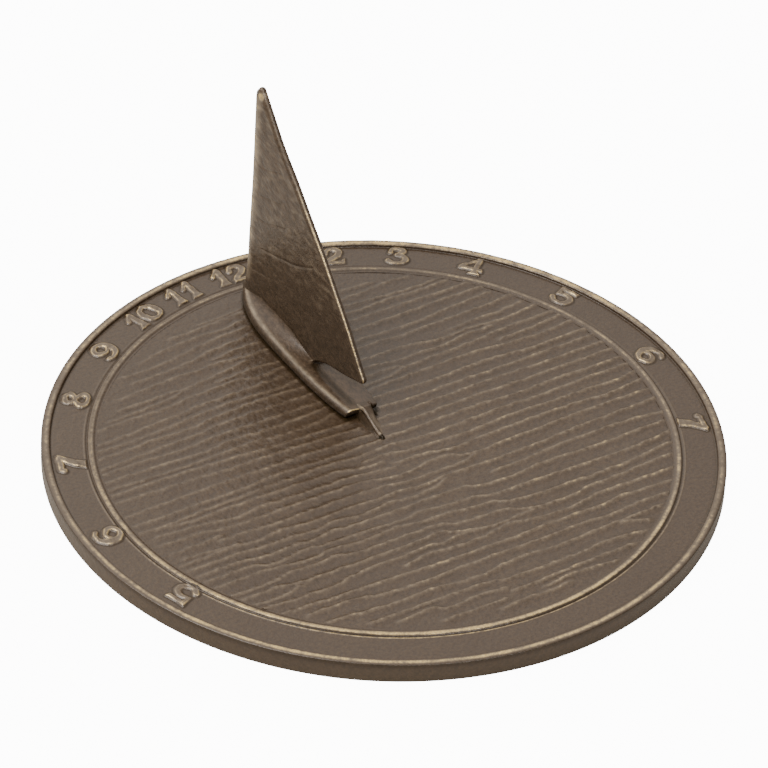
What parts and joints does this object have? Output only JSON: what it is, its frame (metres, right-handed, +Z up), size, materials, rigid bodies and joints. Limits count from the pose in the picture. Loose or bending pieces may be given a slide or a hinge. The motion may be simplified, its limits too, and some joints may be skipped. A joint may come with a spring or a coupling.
{
  "type": "horizontal garden sundial",
  "caption": "Round cast horizontal sundial with raised hour numerals, a rippled water field and a sailing-boat gnomon screwed on from below.",
  "frame": {"origin": "centre of the round plate, on the surface that the plate stands on; the style's line meets the field at this centre", "axes": "+Z up; +Y to true north along the noon line, from the dial's centre towards the boat's bow; +X east, the afternoon side"},
  "size_m": [0.254, 0.254, 0.1067],
  "materials": {
    "plate_bronze": "dark antique bronze patina, raised edges brushed to a golden shine",
    "gnomon_bronze": "dark antique bronze patina with a sandy cast texture, edges brushed bright",
    "fastener_steel": "plain turned stainless steel"
  },
  "bodies": {
    "root": {"dial_plate": "plate_bronze", "gnomon": "gnomon_bronze", "gnomon_screws": "fastener_steel", "lock_washers": "fastener_steel"}
  },
  "joints": []
}
